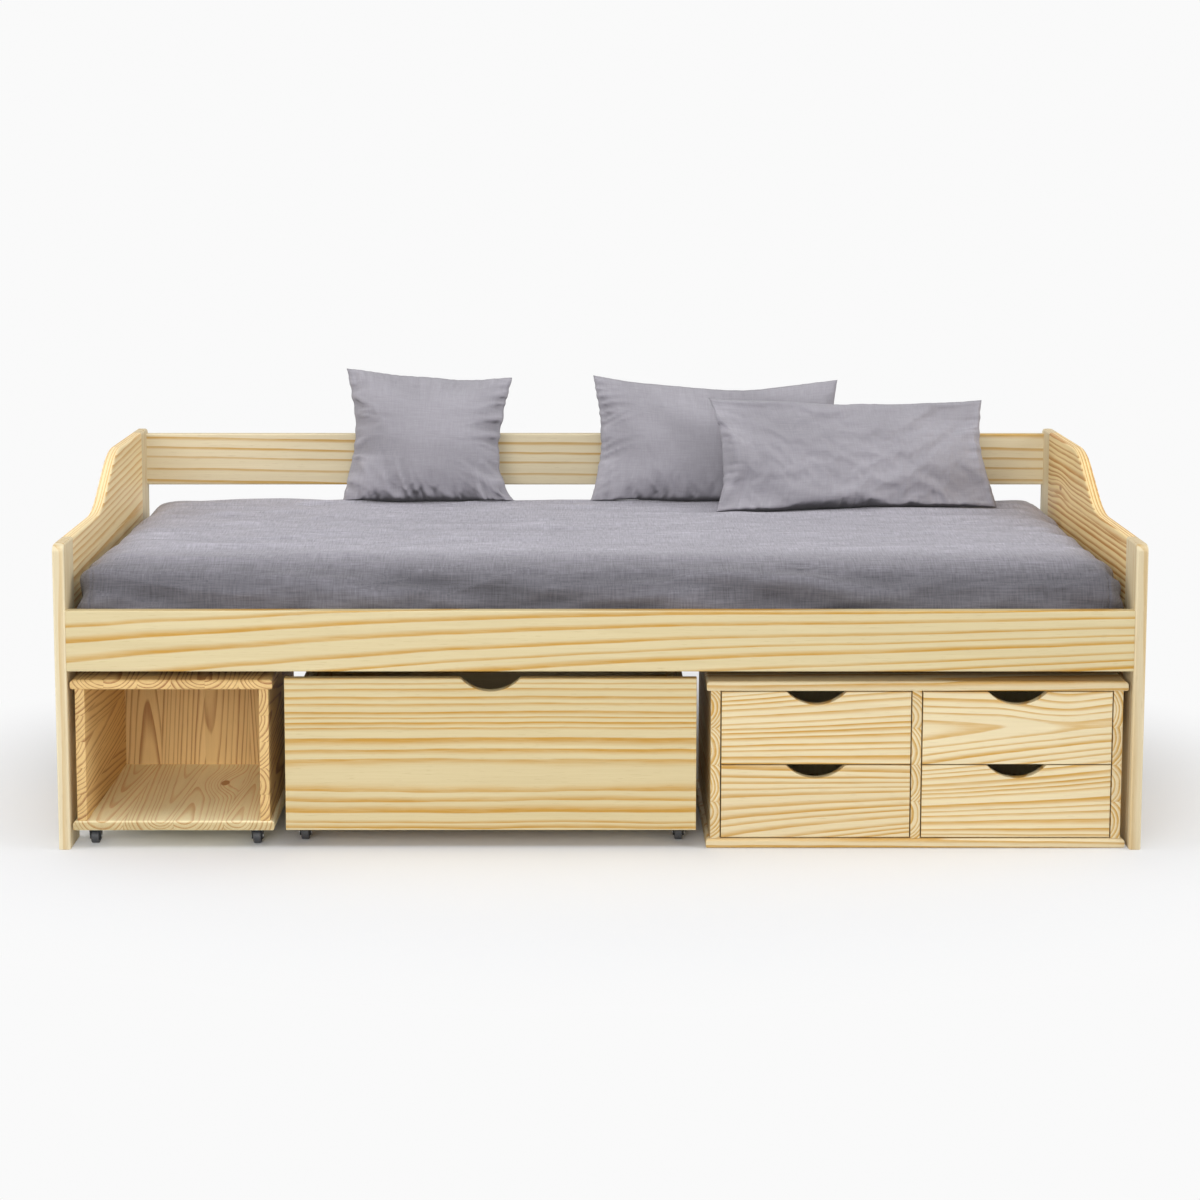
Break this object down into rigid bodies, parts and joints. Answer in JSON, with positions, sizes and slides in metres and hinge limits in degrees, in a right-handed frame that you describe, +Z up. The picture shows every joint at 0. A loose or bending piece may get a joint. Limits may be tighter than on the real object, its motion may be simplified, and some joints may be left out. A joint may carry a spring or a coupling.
{
  "type": "day bed with storage",
  "caption": "Pine day bed with S-topped ends, slats, mattress and cushions, over a rolling open box, a wide rolling drawer and a chest of small drawers.",
  "frame": {"origin": "on the floor, under the middle of the bed's length and depth", "axes": "+X along the bed to the right seen from the front, +Y from front to back, +Z up"},
  "size_m": [2.044, 0.95, 0.8347],
  "materials": {
    "pine": "satin lacquer",
    "warm_pine": "satin lacquer",
    "beech": "raw",
    "steel": "zinc plated",
    "black_plastic": "matte",
    "wheel_rubber": "matte",
    "grey_sheet": "woven cotton",
    "grey_cotton": "woven cotton"
  },
  "bodies": {
    "frame": {"left_front_leg": "pine", "left_rear_leg": "pine", "left_end_panel": "pine", "right_front_leg": "pine", "right_rear_leg": "pine", "right_end_panel": "pine", "front_rail": "pine", "rear_rail": "pine", "backrest_rail": "pine", "slat_battens": "pine", "bed_slats": "pine", "rail_bolts": "steel", "barrel_nuts": "steel", "panel_dowels": "beech", "slat_screws": "steel", "mattress": "grey_sheet", "square_cushion": "grey_cotton", "rear_pillow": "grey_cotton", "front_pillow": "grey_cotton", "chest_top": "pine", "chest_bottom": "pine", "chest_left_side": "pine", "chest_right_side": "pine", "chest_divider": "pine", "chest_back": "pine", "chest_runners": "pine", "chest_dowels": "beech", "chest_screws": "steel"},
    "open_box": {"cube_top": "warm_pine", "cube_bottom": "warm_pine", "cube_left_side": "warm_pine", "cube_right_side": "warm_pine", "cube_back": "warm_pine", "cube_dowels": "beech", "cube_casters": "black_plastic", "cube_hardware": "steel"},
    "wide_drawer": {"drawer_front": "pine", "drawer_left_side": "pine", "drawer_right_side": "pine", "drawer_back": "pine", "drawer_bottom": "pine", "drawer_dowels": "beech", "drawer_casters": "black_plastic", "drawer_hardware": "steel"},
    "box_wheel_front_left": {"cube_wheel_front_left": "wheel_rubber"},
    "box_wheel_front_right": {"cube_wheel_front_right": "wheel_rubber"},
    "box_wheel_rear_left": {"cube_wheel_rear_left": "wheel_rubber"},
    "box_wheel_rear_right": {"cube_wheel_rear_right": "wheel_rubber"},
    "drawer_wheel_front_left": {"drawer_wheel_front_left": "wheel_rubber"},
    "drawer_wheel_front_right": {"drawer_wheel_front_right": "wheel_rubber"},
    "drawer_wheel_rear_left": {"drawer_wheel_rear_left": "wheel_rubber"},
    "drawer_wheel_rear_right": {"drawer_wheel_rear_right": "wheel_rubber"},
    "upper_left_drawer": {"upper_left_front": "pine", "upper_left_box": "pine"},
    "upper_right_drawer": {"upper_right_front": "pine", "upper_right_box": "pine"},
    "lower_left_drawer": {"lower_left_front": "pine", "lower_left_box": "pine"},
    "lower_right_drawer": {"lower_right_front": "pine", "lower_right_box": "pine"}
  },
  "joints": [
    {"name": "open_box_roll", "type": "slide", "parent": "frame", "child": "open_box", "axis": [0, -1, 0], "range_m": [0, 0.6]},
    {"name": "wide_drawer_roll", "type": "slide", "parent": "frame", "child": "wide_drawer", "axis": [0, -1, 0], "range_m": [0, 0.75]},
    {"name": "upper_left_slide", "type": "slide", "parent": "frame", "child": "upper_left_drawer", "axis": [0, -1, 0], "range_m": [0, 0.3]},
    {"name": "upper_right_slide", "type": "slide", "parent": "frame", "child": "upper_right_drawer", "axis": [0, -1, 0], "range_m": [0, 0.3]},
    {"name": "lower_left_slide", "type": "slide", "parent": "frame", "child": "lower_left_drawer", "axis": [0, -1, 0], "range_m": [0, 0.3]},
    {"name": "lower_right_slide", "type": "slide", "parent": "frame", "child": "lower_right_drawer", "axis": [0, -1, 0], "range_m": [0, 0.3]},
    {"name": "box_wheel_front_left_spin", "type": "hinge", "parent": "open_box", "child": "box_wheel_front_left", "pos_m": [-0.96, -0.427, 0.014], "axis": [1, 0, 0], "continuous": true},
    {"name": "box_wheel_front_right_spin", "type": "hinge", "parent": "open_box", "child": "box_wheel_front_right", "pos_m": [-0.652, -0.427, 0.014], "axis": [1, 0, 0], "continuous": true},
    {"name": "box_wheel_rear_left_spin", "type": "hinge", "parent": "open_box", "child": "box_wheel_rear_left", "pos_m": [-0.96, -0.068, 0.014], "axis": [1, 0, 0], "continuous": true},
    {"name": "box_wheel_rear_right_spin", "type": "hinge", "parent": "open_box", "child": "box_wheel_rear_right", "pos_m": [-0.652, -0.068, 0.014], "axis": [1, 0, 0], "continuous": true},
    {"name": "drawer_wheel_front_left_spin", "type": "hinge", "parent": "wide_drawer", "child": "drawer_wheel_front_left", "pos_m": [-0.563, -0.402, 0.014], "axis": [1, 0, 0], "continuous": true},
    {"name": "drawer_wheel_front_right_spin", "type": "hinge", "parent": "wide_drawer", "child": "drawer_wheel_front_right", "pos_m": [0.151, -0.402, 0.014], "axis": [1, 0, 0], "continuous": true},
    {"name": "drawer_wheel_rear_left_spin", "type": "hinge", "parent": "wide_drawer", "child": "drawer_wheel_rear_left", "pos_m": [-0.563, 0.096, 0.014], "axis": [1, 0, 0], "continuous": true},
    {"name": "drawer_wheel_rear_right_spin", "type": "hinge", "parent": "wide_drawer", "child": "drawer_wheel_rear_right", "pos_m": [0.151, 0.096, 0.014], "axis": [1, 0, 0], "continuous": true}
  ],
  "couplings": [
    {"joint": "box_wheel_front_left_spin", "follows": "open_box_roll", "rad_per_m": 71.429},
    {"joint": "box_wheel_front_right_spin", "follows": "open_box_roll", "rad_per_m": 71.429},
    {"joint": "box_wheel_rear_left_spin", "follows": "open_box_roll", "rad_per_m": 71.429},
    {"joint": "box_wheel_rear_right_spin", "follows": "open_box_roll", "rad_per_m": 71.429},
    {"joint": "drawer_wheel_front_left_spin", "follows": "wide_drawer_roll", "rad_per_m": 71.429},
    {"joint": "drawer_wheel_front_right_spin", "follows": "wide_drawer_roll", "rad_per_m": 71.429},
    {"joint": "drawer_wheel_rear_left_spin", "follows": "wide_drawer_roll", "rad_per_m": 71.429},
    {"joint": "drawer_wheel_rear_right_spin", "follows": "wide_drawer_roll", "rad_per_m": 71.429}
  ]
}
